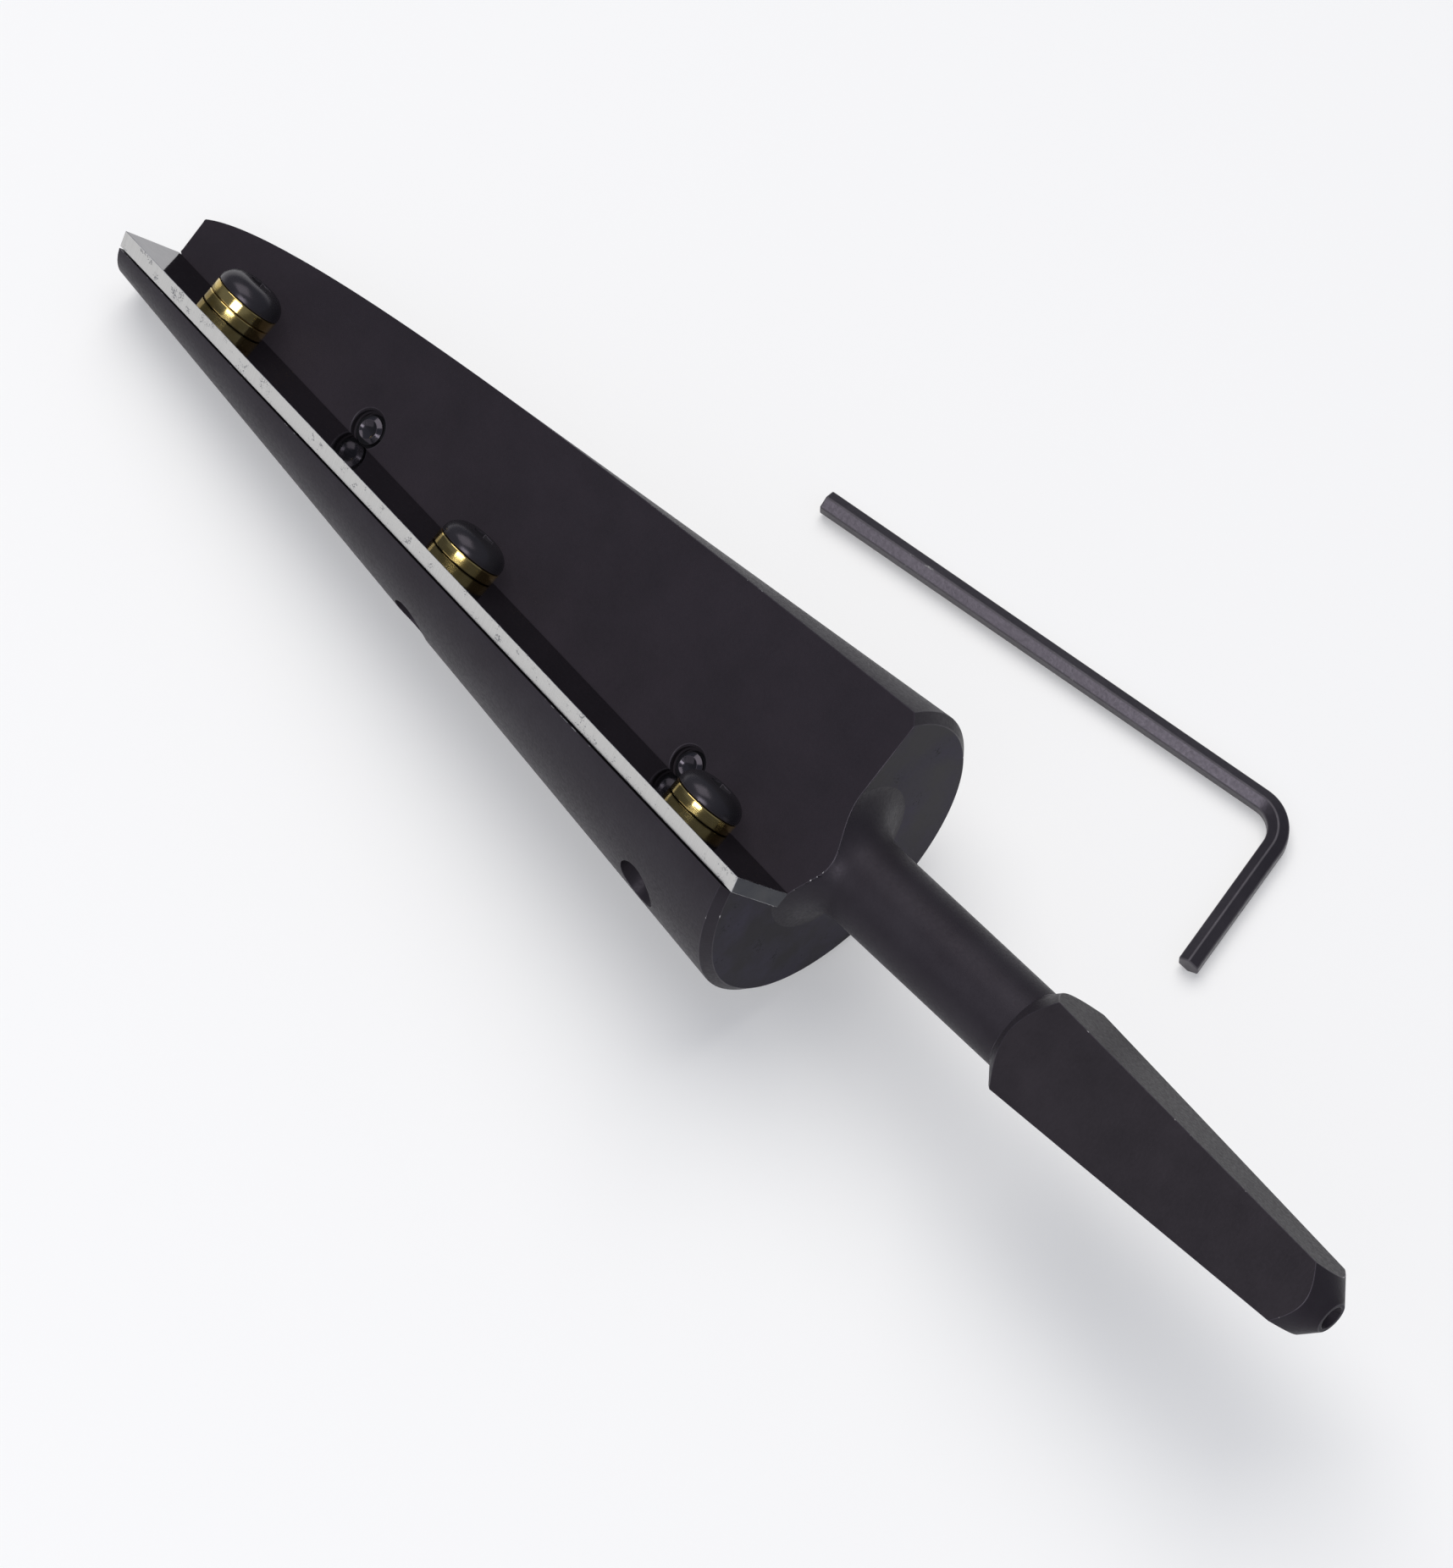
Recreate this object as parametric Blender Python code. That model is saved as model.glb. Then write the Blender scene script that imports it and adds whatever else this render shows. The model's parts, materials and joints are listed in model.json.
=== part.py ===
"""A conical plane for a brace: a steel taper reamer with a clamped blade, and the hex key that sets it.

The tool is drawn in its own frame: +X runs along the axis from the small end to the tang, and the
origin is the centre of the large end face. The finished tool is then laid on its side on the floor,
which is the plane z = 0, in the position that it rolls to by itself.
"""

import math

import bmesh
import bpy
from mathutils import Matrix, Vector

MM = 0.001
GAP = 0.2 * MM  # between pieces that touch on the real tool

# Cone, turned from one bar with its shank and tang
LARGE_RADIUS = 19.0 * MM
HALF_ANGLE = math.radians(6.4)
CONE_LENGTH = 108.5 * MM
RIM_CHAMFER = 1.0 * MM
ROUND_STEPS = 120

# Shank and tang
SHANK_RADIUS = 5.1 * MM
SHANK_FILLET = 4.4 * MM
FILLET_STEPS = 12
SHOULDER_START = 29.0 * MM
TANG_END = 75.4 * MM
TANG_HALF_WIDTH = 5.9 * MM  # at TANG_WIDTH_STATION
TANG_WIDTH_STATION = 32.4 * MM
TANG_TAPER = 0.049  # half width lost per unit of length
TANG_TURN = math.radians(-15.8)  # of the flats, about the tool's axis
TIP_RADIUS = 1.9 * MM
TANG_BLANK_RADIUS = 9.5 * MM
CENTRE_MOUTH_RADIUS = 1.45 * MM
CENTRE_DRILL_RADIUS = 0.6 * MM
CENTRE_DRILL_DEPTH = 2.6 * MM

# Blade, bedded on a plane that passes below the axis
RAKE = math.radians(17.0)  # of the blade's face to the radius at its edge
BLADE_WIDTH = 13.0 * MM
BLADE_THICKNESS = 1.85 * MM
BEVEL_RUN = 1.2 * MM
EDGE_PROUD = 0.2 * MM  # of the cone's surface
BLADE_OVERHANG = 0.5 * MM  # past the large end face
BACK_CLEARANCE = 0.2 * MM  # from the blade's back edge to the wall
GRIND = 0.15 * MM  # of the blade's back corner, below the cone's surface at the small end
WALL_LEAN = math.radians(3.2)  # of the wall over the blade
BLADE_FEED = 1.0 * MM

# Clamp screws, No. 8 button heads with brass washers
SCREW_COUNT = 3
FIRST_SCREW = 13.1 * MM  # from the large end, along the edge
SCREW_SPACING = 42.0 * MM
SCREW_INSET = 8.75 * MM  # from the edge
HEAD_RADIUS = 3.96 * MM
HEAD_HEIGHT = 2.2 * MM
HEAD_RIM = 0.35 * MM
SHANK_SCREW_RADIUS = 1.9 * MM
SCREW_REACH = 7.94 * MM
SOCKET_ACROSS = 2.4 * MM
SOCKET_DEPTH = 1.3 * MM
WASHER_RADIUS = 4.0 * MM
WASHER_BORE = 2.2 * MM
WASHER_PITCH = 1.27 * MM  # thickness with the gap above it
TAPPED_RADIUS = 2.2 * MM
RELIEF_RADIUS = 2.75 * MM
THREAD_LENGTH = 5.2 * MM  # below the bed, before the wider relief bore

# Set screws, which push the blade forward from behind
SET_SCREW_STATIONS = (20.3 * MM, 77.6 * MM)
SET_SCREW_HEIGHT = 1.6 * MM  # of the axis above the blade's face
SET_SCREW_RADIUS = 1.9 * MM
SET_SCREW_LENGTH = 6.3 * MM
SET_HOLE_RADIUS = 2.15 * MM
CUP_RADIUS = 1.1 * MM
CUP_DEPTH = 0.5 * MM

# Hex key
KEY_ACROSS = 2.4 * MM
KEY_LONG = 63.4 * MM
KEY_SHORT = 21.5 * MM
KEY_BEND = 4.2 * MM  # radius of the bend at the bar's middle
KEY_CHAMFER = 0.25 * MM
KEY_BEND_STEPS = 10
KEY_TURN = math.radians(86.8)  # of the bar through its bend
KEY_CORNER = (24.75 * MM, 45.73 * MM)  # outer corner from the large end's centre, on the floor
KEY_HEADING = math.radians(190.6)  # of the long arm, from its corner

# The side that the tool rests on, as an angle about its axis
REST_SIDE = math.radians(-45.0)


def material(name, colour, metallic, roughness):
    made = bpy.data.materials.new(name)
    made.use_nodes = True
    shader = made.node_tree.nodes["Principled BSDF"]
    shader.inputs["Base Color"].default_value = (*colour, 1.0)
    shader.inputs["Metallic"].default_value = metallic
    shader.inputs["Roughness"].default_value = roughness
    return made


def add_object(name, bm, parent=None, place=None, finish=None):
    """An object from a bmesh, shaded smooth with its hard edges kept."""
    bmesh.ops.recalc_face_normals(bm, faces=bm.faces)
    mesh = bpy.data.meshes.new(name)
    bm.to_mesh(mesh)
    bm.free()
    mesh.shade_smooth()
    mesh.set_sharp_from_angle(angle=math.radians(25))
    made = bpy.data.objects.new(name, mesh)
    bpy.context.collection.objects.link(made)
    if finish:
        mesh.materials.append(finish)
    if parent:
        made.parent = parent
    if place:
        made.matrix_local = place
    return made


def add_empty(name, parent, place):
    made = bpy.data.objects.new(name, None)
    bpy.context.collection.objects.link(made)
    made.parent = parent
    made.matrix_local = place
    return made


def boolean(target, tool, operation="DIFFERENCE"):
    """Adds the cut to the target and hides the tool that makes it."""
    tool.hide_render = True
    tool.display_type = "WIRE"
    step = target.modifiers.new(tool.name, "BOOLEAN")
    step.operation = operation
    step.object = tool


def shade_cut_faces():
    """Marks the hard edges that the cuts left, which their own meshes can't know of."""
    graph = bpy.context.evaluated_depsgraph_get()
    cut = [item for item in bpy.data.objects if item.modifiers and not item.hide_render]
    meshes = [bpy.data.meshes.new_from_object(item.evaluated_get(graph)) for item in cut]
    for item, mesh in zip(cut, meshes):
        item.modifiers.clear()
        item.data = mesh
        mesh.name = item.name
        mesh.shade_smooth()
        mesh.set_sharp_from_angle(angle=math.radians(25))
    for item in list(bpy.data.objects):
        if item.type == "MESH" and item.hide_render:
            bpy.data.objects.remove(item, do_unlink=True)


def turned(profile, steps=ROUND_STEPS, start=math.pi / 2):
    """A solid turned about X from (station, radius) points that start and end on the axis."""
    bm = bmesh.new()
    way = Vector((0, math.cos(start), math.sin(start)))
    points = [bm.verts.new(Vector((station, 0, 0)) + radius * way) for station, radius in profile]
    edges = [bm.edges.new(pair) for pair in zip(points, points[1:])]
    bmesh.ops.spin(
        bm,
        geom=points + edges,
        cent=(0, 0, 0),
        axis=(1, 0, 0),
        angle=math.tau,
        steps=steps,
        use_merge=True,
    )
    bmesh.ops.remove_doubles(bm, verts=bm.verts, dist=1e-7)
    return bm


def pole(profile, steps):
    """The same, about Z, from (radius, height) points."""
    bm = turned([(height, radius) for radius, height in profile], steps)
    bmesh.ops.transform(bm, verts=bm.verts, matrix=Matrix.Rotation(-math.pi / 2, 4, "Y"))
    return bm


def prism(outline, low, high, axis="X"):
    """An outline in the plane across an axis, extruded from low to high."""
    order = {"X": lambda a, b, c: (c, a, b), "Z": lambda a, b, c: (a, b, c)}[axis]
    bm = bmesh.new()
    base = bm.faces.new([bm.verts.new(order(a, b, low)) for a, b in outline])
    grown = bmesh.ops.extrude_face_region(bm, geom=[base])
    moved = [item for item in grown["geom"] if isinstance(item, bmesh.types.BMVert)]
    bmesh.ops.translate(bm, verts=moved, vec=order(0, 0, high - low))
    return bm


def polygon(radius, count, turn=0.0, centre=(0.0, 0.0)):
    angles = [turn + math.tau * i / count for i in range(count)]
    return [(centre[0] + radius * math.cos(a), centre[1] + radius * math.sin(a)) for a in angles]


def cone_radius(station):
    return LARGE_RADIUS + station * math.tan(HALF_ANGLE)


def blade_seat_matrix():
    """The blade's frame: X along the cutting edge to the tang, Y from the edge to the wall, Z out of its face."""
    along = Vector((math.cos(HALF_ANGLE), -math.sin(HALF_ANGLE), 0))
    inward = Vector((math.sin(HALF_ANGLE), math.cos(HALF_ANGLE), 0))
    across = math.cos(RAKE) * inward - math.sin(RAKE) * Vector((0, 0, 1))
    out = along.cross(across)
    seat = Matrix((along, across, out)).transposed().to_4x4()
    seat.translation = Vector((0, -(LARGE_RADIUS + EDGE_PROUD), 0))
    return seat


def rest_matrix():
    """Turns the tool so that its resting side faces down, and lays that side flat on the floor."""
    up = Vector(
        (
            math.sin(HALF_ANGLE),
            -math.cos(HALF_ANGLE) * math.cos(REST_SIDE),
            -math.cos(HALF_ANGLE) * math.sin(REST_SIDE),
        )
    )
    axis = Vector((1, 0, 0))
    ahead = (axis - axis.dot(up) * up).normalized()
    turn = Matrix((ahead, up.cross(ahead), up)).to_4x4()
    rise = Matrix.Translation((0, 0, LARGE_RADIUS * math.cos(HALF_ANGLE)))
    return rise @ turn


def end_plane_x(seat, station, y, z):
    """The x in the blade's frame at which (y, z) lies on the tool's plane at a station."""
    along, across, out = (seat.col[i][0] for i in range(3))
    return (station - seat.translation[0] - y * across - z * out) / along


def make_turned_blank():
    fillet = [
        (
            SHANK_FILLET * (1 - math.cos(angle)),
            SHANK_RADIUS + SHANK_FILLET * (1 - math.sin(angle)),
        )
        for angle in (math.pi / 2 * i / FILLET_STEPS for i in range(FILLET_STEPS + 1))
    ]
    rim = cone_radius(-RIM_CHAMFER)
    profile = [
        (-CONE_LENGTH, 0),
        (-CONE_LENGTH, cone_radius(-CONE_LENGTH)),
        (-RIM_CHAMFER, rim),
        (0, rim - RIM_CHAMFER),
        *fillet,
        (SHOULDER_START + 2 * MM, SHANK_RADIUS),
        (SHOULDER_START + 2 * MM, 0),
    ]
    return turned(profile, start=REST_SIDE + math.pi / ROUND_STEPS)


def make_tang(parent):
    """The square taper, cut from a turned blank with 45 degree shoulders."""
    reach = TANG_BLANK_RADIUS - SHANK_RADIUS
    root = 2 * MM
    blank = [
        (SHOULDER_START - root, 0),
        (SHOULDER_START - root, SHANK_RADIUS - root),
        (SHOULDER_START + reach, TANG_BLANK_RADIUS),
        (TANG_END - (TANG_BLANK_RADIUS - TIP_RADIUS), TANG_BLANK_RADIUS),
        (TANG_END, TIP_RADIUS),
        (TANG_END, 0),
    ]
    blank_solid = turned(blank, start=REST_SIDE + math.pi / ROUND_STEPS)
    tang = add_object("tang_blank", blank_solid, parent)
    ends = (SHOULDER_START - 3 * root, TANG_END + root)
    bm = bmesh.new()
    rings = []
    for station in ends:
        half = TANG_HALF_WIDTH - TANG_TAPER * (station - TANG_WIDTH_STATION)
        corners = polygon(half * math.sqrt(2), 4, TANG_TURN + math.pi / 4)
        rings.append([bm.verts.new((station, y, z)) for y, z in corners])
    for i in range(4):
        bm.faces.new((rings[0][i], rings[0][i - 1], rings[1][i - 1], rings[1][i]))
    bm.faces.new(rings[0])
    bm.faces.new(rings[1])
    boolean(tang, add_object("tang_square", bm, parent), "INTERSECT")
    return tang


def make_centre_hole(parent):
    mouth = CENTRE_MOUTH_RADIUS
    slope = (mouth - CENTRE_DRILL_RADIUS) / math.tan(math.radians(30))
    profile = [
        (TANG_END - CENTRE_DRILL_DEPTH, 0),
        (TANG_END - CENTRE_DRILL_DEPTH, CENTRE_DRILL_RADIUS),
        (TANG_END - slope, CENTRE_DRILL_RADIUS),
        (TANG_END, mouth),
        (TANG_END + MM, mouth),
        (TANG_END + MM, 0),
    ]
    return add_object("centre_hole", turned(profile, 24), parent)


def make_notch(seat):
    bed = -BLADE_THICKNESS - GAP
    foot = BLADE_WIDTH + BACK_CLEARANCE
    far = 40 * MM
    top = (foot - far * math.tan(WALL_LEAN), far)
    foot_at_bed = (foot - bed * math.tan(WALL_LEAN), bed)
    outline = [(-far, bed), foot_at_bed, top, (-far, far)]
    bm = prism(outline, -CONE_LENGTH - 12 * MM, 12 * MM)
    return add_object("notch", bm, seat)


def screw_places():
    """Where the clamp screws stand in the blade's frame, from the small end to the large end."""
    stations = [-(FIRST_SCREW + SCREW_SPACING * i) for i in range(SCREW_COUNT)]
    return [(station, SCREW_INSET) for station in reversed(stations)]


def make_body(rest, seat, finish):
    body = add_object("reamer_body", make_turned_blank(), rest, finish=finish)
    boolean(body, make_tang(rest), "UNION")
    boolean(body, make_centre_hole(rest))
    boolean(body, make_notch(seat))
    bed = -BLADE_THICKNESS - GAP
    for number, (x, y) in enumerate(screw_places(), 1):
        relief_top = bed - THREAD_LENGTH
        hole = [
            (0, -30 * MM),
            (RELIEF_RADIUS, -30 * MM),
            (RELIEF_RADIUS, relief_top),
            (TAPPED_RADIUS, relief_top + (RELIEF_RADIUS - TAPPED_RADIUS)),
            (TAPPED_RADIUS, bed + MM),
            (0, bed + MM),
        ]
        place = Matrix.Translation((x, y, 0))
        cutter = add_object(f"clamp_hole_{number}", pole(hole, 32), seat, place)
        boolean(body, cutter)
    for number, station in enumerate(SET_SCREW_STATIONS, 1):
        bore = [(0, -2 * MM), (SET_HOLE_RADIUS, -2 * MM), (SET_HOLE_RADIUS, 40 * MM), (0, 40 * MM)]
        place = Matrix.Translation((-station, BLADE_WIDTH, SET_SCREW_HEIGHT))
        place = place @ Matrix.Rotation(-math.pi / 2, 4, "X")
        cutter = add_object(f"set_hole_{number}", pole(bore, 32), seat, place)
        boolean(body, cutter)
    return body


def make_blade(seat, finish):
    """A flat blade with its bevel underneath and its ends flush with the ends of the cone."""
    frame = blade_seat_matrix()
    bottom = -BLADE_THICKNESS
    outline = [(0, 0), (BLADE_WIDTH, 0), (BLADE_WIDTH, bottom), (BEVEL_RUN, bottom)]
    bm = bmesh.new()
    rings = []
    for station in (-CONE_LENGTH, BLADE_OVERHANG):
        places = [(end_plane_x(frame, station, y, z), y, z) for y, z in outline]
        rings.append([bm.verts.new(place) for place in places])
    for i in range(4):
        bm.faces.new((rings[0][i], rings[0][i - 1], rings[1][i - 1], rings[1][i]))
    bm.faces.new(rings[0])
    bm.faces.new(rings[1])
    blade = add_object("blade", bm, seat, finish=finish)
    side = 40 * MM
    ground = prism([(-side, -side), (side, -side), (side, side), (-side, side)], -side, GRIND, "Z")
    place = Matrix.Translation((-CONE_LENGTH, 0, 0))
    boolean(blade, add_object("back_corner_grind", ground, seat.parent.parent, place))
    for number, (x, y) in enumerate(screw_places(), 1):
        radius = SHANK_SCREW_RADIUS + 1.5 * GAP
        near = polygon(radius, 24, math.pi / 24)
        slot = [(a, b + (BLADE_FEED if b > 0 else 0)) for a, b in near]
        bm = prism(slot, -5 * MM, 2 * MM, "Z")
        place = Matrix.Translation((x, y, 0))
        boolean(blade, add_object(f"blade_slot_{number}", bm, seat, place))
    return blade


def make_clamp_screw(number, seat, place, washers, finish):
    """A button head screw. Its origin is on its axis, level with the blade's face."""
    under = washers * WASHER_PITCH + GAP
    dome = []
    rise = HEAD_HEIGHT - HEAD_RIM
    crown = 1.5 * MM
    for i in range(7):
        part = i / 6
        radius = HEAD_RADIUS - (HEAD_RADIUS - crown) * part
        dome.append((radius, under + HEAD_RIM + rise * math.sin(math.pi / 2 * part)))
    profile = [
        (0, under - SCREW_REACH),
        (SHANK_SCREW_RADIUS - 0.3 * MM, under - SCREW_REACH),
        (SHANK_SCREW_RADIUS, under - SCREW_REACH + 0.3 * MM),
        (SHANK_SCREW_RADIUS, under),
        (HEAD_RADIUS, under),
        *dome,
        (0, under + HEAD_HEIGHT),
    ]
    screw = add_object(f"clamp_screw_{number}", pole(profile, 40), seat, place, finish)
    top = under + HEAD_HEIGHT
    outline = polygon(SOCKET_ACROSS / math.sqrt(3), 6)
    socket = prism(outline, top - SOCKET_DEPTH, top + MM, "Z")
    boolean(screw, add_object(f"socket_{number}", socket, seat, place))
    return screw


def make_washer(name, seat, place, level, finish):
    low = level * WASHER_PITCH + GAP
    high = (level + 1) * WASHER_PITCH
    bevel = 0.08 * MM
    profile = [
        (WASHER_BORE, low),
        (WASHER_RADIUS - bevel, low),
        (WASHER_RADIUS, low + bevel),
        (WASHER_RADIUS, high - bevel),
        (WASHER_RADIUS - bevel, high),
        (WASHER_BORE, high),
        (WASHER_BORE, low),
    ]
    return add_object(name, pole(profile, 48), seat, place, finish)


def make_clamps(seat, black, brass):
    for number, (x, y) in enumerate(screw_places(), 1):
        place = Matrix.Translation((x, y, 0))
        washers = 2 if number == 1 else 1
        for level in range(washers):
            suffix = ("_lower", "_upper")[level] if washers == 2 else ""
            make_washer(f"brass_washer_{number}{suffix}", seat, place, level, brass)
        make_clamp_screw(number, seat, place, washers, black)


def make_set_screws(seat, finish):
    """Cup point set screws. Each one's Z runs from its point into the body."""
    for number, station in enumerate(SET_SCREW_STATIONS, 1):
        end = SET_SCREW_LENGTH
        bevel = SET_SCREW_RADIUS - CUP_RADIUS
        profile = [
            (0, CUP_DEPTH),
            (CUP_RADIUS, 0),
            (SET_SCREW_RADIUS, bevel * 0.7),
            (SET_SCREW_RADIUS, end),
            (0, end),
        ]
        place = Matrix.Translation((-station, BLADE_WIDTH + GAP, SET_SCREW_HEIGHT))
        place = place @ Matrix.Rotation(-math.pi / 2, 4, "X")
        screw = add_object(f"set_screw_{number}", pole(profile, 32), seat, place, finish)
        outline = polygon(SOCKET_ACROSS / math.sqrt(3), 6)
        socket = prism(outline, end - 2.2 * MM, end + MM, "Z")
        boolean(screw, add_object(f"set_socket_{number}", socket, seat, place))


def make_hex_key(stand, finish):
    """A bar bent to an L, lying flat. Its origin is the outer corner of the bend, on the floor."""
    corner_radius = KEY_ACROSS / math.sqrt(3)
    middle = KEY_ACROSS / 2
    inside = math.pi - KEY_TURN
    centre = (middle + KEY_BEND) * Vector((1 / math.tan(inside / 2), 1))
    short_way = Vector((math.cos(inside), math.sin(inside)))
    short_middle = middle * Vector((math.sin(inside), -math.cos(inside)))
    route = [
        (Vector((KEY_LONG, middle)), 0.0, -KEY_CHAMFER),
        (Vector((KEY_LONG - KEY_CHAMFER, middle)), 0.0, 0.0),
    ]
    for i in range(KEY_BEND_STEPS + 1):
        angle = KEY_TURN * i / KEY_BEND_STEPS
        point = centre + KEY_BEND * Vector((-math.sin(angle), -math.cos(angle)))
        route.append((point, angle, 0.0))
    shoulder = short_middle + (KEY_SHORT - KEY_CHAMFER) * short_way
    route.append((shoulder, KEY_TURN, 0.0))
    route.append((short_middle + KEY_SHORT * short_way, KEY_TURN, -KEY_CHAMFER))
    bm = bmesh.new()
    rings = []
    for point, heading, shrink in route:
        side = Vector((math.sin(heading), math.cos(heading)))
        ring = []
        for across, up in polygon(corner_radius + shrink, 6, math.pi / 2):
            spot = point + side * across
            ring.append(bm.verts.new((spot.x, spot.y, up + corner_radius)))
        rings.append(ring)
    for first, second in zip(rings, rings[1:]):
        for i in range(6):
            bm.faces.new((first[i], first[i - 1], second[i - 1], second[i]))
    bm.faces.new(rings[0])
    bm.faces.new(rings[-1])
    place = Matrix.Translation((*KEY_CORNER, 0)) @ Matrix.Rotation(KEY_HEADING, 4, "Z")
    return add_object("hex_key", bm, stand, place, finish)


def centre_on_floor(stand):
    """Moves everything so that the origin is the middle of the footprint, on the floor."""
    bpy.context.view_layer.update()
    graph = bpy.context.evaluated_depsgraph_get()
    spots = []
    for item in bpy.data.objects:
        if item.type == "MESH" and not item.hide_render:
            solid = item.evaluated_get(graph)
            spots += [solid.matrix_world @ vertex.co for vertex in solid.data.vertices]
    low = [min(spot[i] for spot in spots) for i in range(3)]
    high = [max(spot[i] for spot in spots) for i in range(3)]
    stand.location = (-(low[0] + high[0]) / 2, -(low[1] + high[1]) / 2, -low[2])
    bpy.context.view_layer.update()


def main():
    for item in list(bpy.data.objects):
        bpy.data.objects.remove(item, do_unlink=True)
    black = material("black_oxide", (0.022, 0.020, 0.023), 0.6, 0.5)
    steel = material("blade_steel", (0.45, 0.45, 0.47), 1.0, 0.3)
    brass = material("brass", (0.62, 0.47, 0.16), 1.0, 0.25)
    stand = add_empty("stand", None, Matrix.Identity(4))
    rest = add_empty("rest_pose", stand, rest_matrix())
    seat = add_empty("blade_seat", rest, blade_seat_matrix())
    make_body(rest, seat, black)
    make_blade(seat, steel)
    make_clamps(seat, black, brass)
    make_set_screws(seat, black)
    make_hex_key(stand, black)
    shade_cut_faces()
    centre_on_floor(stand)


main()
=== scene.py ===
"""A conical hand plane for a brace, lying on a pale floor beside its hex key.

The tool has two working frames. In the tool frame, X is the axis that it was turned on, from
the small end to the tang, with its origin in the middle of the large end. In the seat frame, X
is the cutting edge, Y runs across the blade to the wall and Z stands out of the blade's face.
"""

import json
import math

import bmesh
import bpy
from mathutils import Matrix, Vector

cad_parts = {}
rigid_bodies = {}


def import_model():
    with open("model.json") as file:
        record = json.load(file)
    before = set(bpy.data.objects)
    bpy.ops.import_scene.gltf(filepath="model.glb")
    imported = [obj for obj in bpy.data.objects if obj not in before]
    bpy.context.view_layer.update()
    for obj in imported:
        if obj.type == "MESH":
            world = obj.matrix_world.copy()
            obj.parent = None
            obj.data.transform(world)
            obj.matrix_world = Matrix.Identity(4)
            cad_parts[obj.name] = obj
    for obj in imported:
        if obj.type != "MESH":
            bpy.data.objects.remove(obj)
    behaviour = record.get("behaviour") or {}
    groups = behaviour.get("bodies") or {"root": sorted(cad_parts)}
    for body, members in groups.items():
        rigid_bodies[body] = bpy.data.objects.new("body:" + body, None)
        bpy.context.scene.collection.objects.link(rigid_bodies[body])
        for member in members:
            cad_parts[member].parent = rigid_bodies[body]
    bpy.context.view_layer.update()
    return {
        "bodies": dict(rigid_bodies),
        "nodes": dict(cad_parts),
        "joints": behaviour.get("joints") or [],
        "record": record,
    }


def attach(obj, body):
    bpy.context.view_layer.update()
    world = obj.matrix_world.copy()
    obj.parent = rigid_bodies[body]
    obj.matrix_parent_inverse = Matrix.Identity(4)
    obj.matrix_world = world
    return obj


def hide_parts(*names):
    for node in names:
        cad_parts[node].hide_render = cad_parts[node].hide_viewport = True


MM = 0.001

# Cone, shank and tang
LARGE_RADIUS = 19.0 * MM
HALF_ANGLE = math.radians(6.4)
CONE_LENGTH = 108.5 * MM
RIM_CHAMFER = 1.0 * MM
ROUND_STEPS = 240
SHANK_RADIUS = 5.1 * MM
SHANK_FILLET = 4.4 * MM
SHOULDER_START = 29.0 * MM
TANG_END = 75.4 * MM
TANG_HALF_WIDTH = 5.9 * MM
TANG_WIDTH_STATION = 32.4 * MM
TANG_TAPER = 0.049
TANG_TURN = math.radians(-15.8)
TIP_RADIUS = 1.9 * MM
TANG_BLANK_RADIUS = 9.5 * MM
CENTRE_MOUTH_RADIUS = 1.45 * MM
CENTRE_DRILL_RADIUS = 0.6 * MM
CENTRE_DRILL_DEPTH = 2.6 * MM
CENTRE_SLOPE = math.radians(30)
BODY_EDGE = 0.07 * MM

# Blade and its seat
RAKE = math.radians(17.0)
BLADE_WIDTH = 13.0 * MM
BLADE_THICKNESS = 1.85 * MM
BEVEL_RUN = 1.2 * MM
EDGE_PROUD = 0.2 * MM
BLADE_OVERHANG = 0.5 * MM
WALL_FOOT = 13.2 * MM
WALL_LEAN = math.radians(3.2)
BED_GAP = 0.2 * MM
BLADE_FEED = 1.0 * MM
CORNER_GRIND = 0.15 * MM
BLADE_EDGE = 0.05 * MM
BLADE_SLOT_GAP = 0.3 * MM

# Clamp screws, washers and set screws
FIRST_SCREW = 13.1 * MM
SCREW_INSET = 8.75 * MM
SCREW_SPACING = 42.0 * MM
HEAD_RADIUS = 3.96 * MM
HEAD_HEIGHT = 2.2 * MM
SCREW_REACH = 7.94 * MM
SCREW_RADIUS = 1.9 * MM
SCREW_PITCH = 0.794 * MM
SOCKET_ACROSS = 2.4 * MM
SOCKET_DEPTH = 1.3 * MM
WASHER_RADIUS = 4.0 * MM
WASHER_BORE = 2.2 * MM
WASHER_PITCH = 1.27 * MM
WASHER_GAP = 0.2 * MM
WASHER_EDGE = 0.15 * MM
WASHER_FILL = 0.1 * MM
WASHER_SEAM = 0.03 * MM
TAPPED_RADIUS = 2.2 * MM
RELIEF_RADIUS = 2.75 * MM
THREAD_LENGTH = 5.2 * MM
SCREW_THREAD_DEPTH = 0.3 * MM
SCREW_EDGE = 0.05 * MM
SCREW_RIDGE = 0.29 * MM
SET_SCREW_THREAD_DEPTH = 0.26 * MM
SET_SCREW_EDGE = 0.04 * MM
SET_SCREW_RIDGE = 0.25 * MM
SET_SOCKET_DEPTH = 2.2 * MM
HOLE_RIDGE = 0.19 * MM
HOLE_RIDGE_INSET = 0.04 * MM
SET_HOLE_THREADS = (9.0 * MM, 3.4 * MM)
SET_SCREW_STATIONS = (20.3 * MM, 77.6 * MM)
SET_SCREW_HEIGHT = 1.6 * MM
SET_SCREW_RADIUS = 1.9 * MM
SET_SCREW_LENGTH = 6.3 * MM
SET_HOLE_RADIUS = 2.15 * MM
CUP_RADIUS = 1.1 * MM

# Hex key
KEY_ACROSS = 2.4 * MM
KEY_LONG = 63.4 * MM
KEY_SHORT = 21.5 * MM
KEY_BEND = 4.2 * MM
KEY_EDGE = 0.14 * MM
KEY_TURN = math.radians(86.8)
KEY_CORNER = (24.75 * MM, 45.73 * MM)
KEY_HEADING = math.radians(190.6)

# Camera, which looks down on the open side
CAMERA_FROM_TOOL = (0.396578, -0.397051, 1.260818)
CAMERA_TURN = (math.radians(24.284), math.radians(-0.688), math.radians(47.714))
CAMERA_LENS = 325.0

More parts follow.
